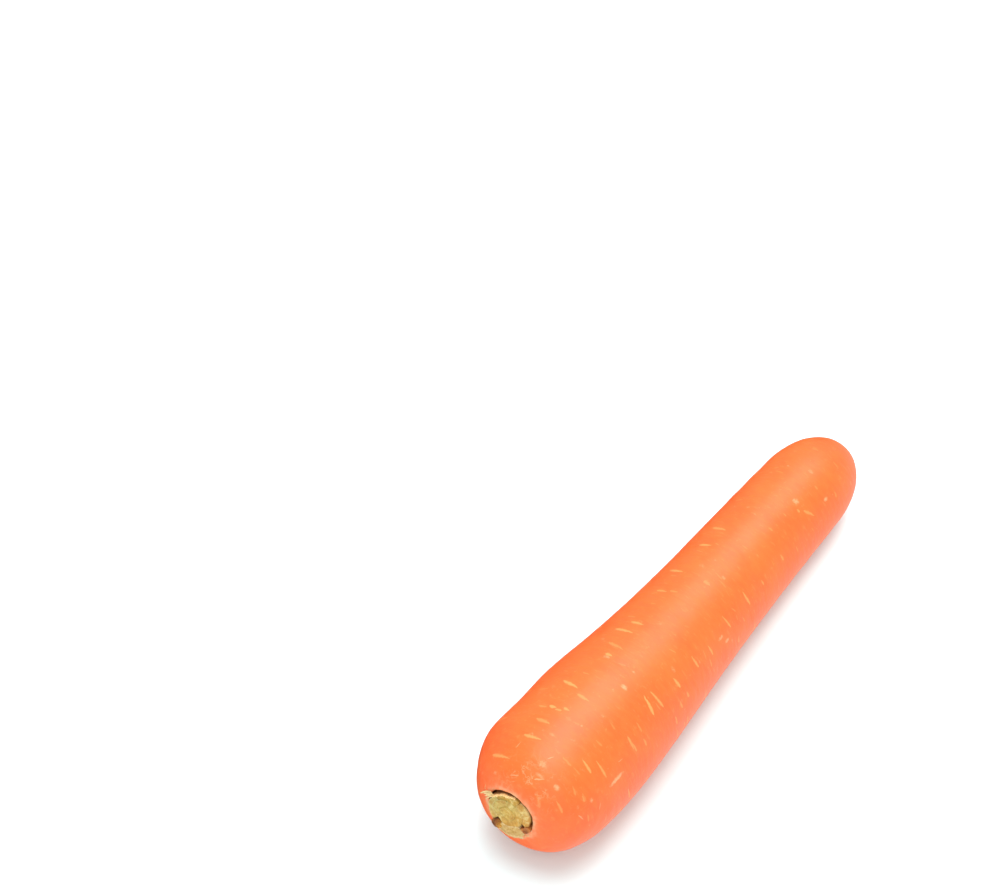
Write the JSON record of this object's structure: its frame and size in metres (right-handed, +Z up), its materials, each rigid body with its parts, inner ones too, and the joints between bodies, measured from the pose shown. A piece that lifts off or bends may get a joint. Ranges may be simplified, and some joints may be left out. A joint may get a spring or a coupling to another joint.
{
  "type": "carrot",
  "caption": "Washed carrot root lying on its side, domed crown with cut leaf-stalk bases in an off-centre recess, blunt tip.",
  "frame": {"origin": "middle of the bounding box's underside, on the surface the carrot lies on", "axes": "+X along the carrot from the crown to the tip, +Z up from the surface it lies on, +Y sideways"},
  "size_m": [0.195, 0.0462, 0.0464],
  "materials": {
    "carrot_skin": "smooth damp orange skin, soft broad shine",
    "young_stalk_cut": "fibrous cut face, yellow-green",
    "inner_stalk_cut": "fibrous cut face, khaki",
    "outer_stalk_cut": "fibrous cut face, khaki to tan",
    "dried_stalk": "dry, rough, dark brown",
    "dry_sheath_straw": "papery, pale straw"
  },
  "bodies": {
    "root": {"carrot_root": "carrot_skin", "stalk_heart": "young_stalk_cut", "stalk_inner_left": "inner_stalk_cut", "stalk_inner_right": "inner_stalk_cut", "stalk_inner_low": "inner_stalk_cut", "stalk_outer_left": "outer_stalk_cut", "stalk_outer_top": "outer_stalk_cut", "stalk_outer_right": "outer_stalk_cut", "stalk_outer_low": "outer_stalk_cut", "withered_stalk_left": "dried_stalk", "withered_stalk_right": "dried_stalk", "dry_sheath": "dry_sheath_straw"}
  },
  "joints": []
}
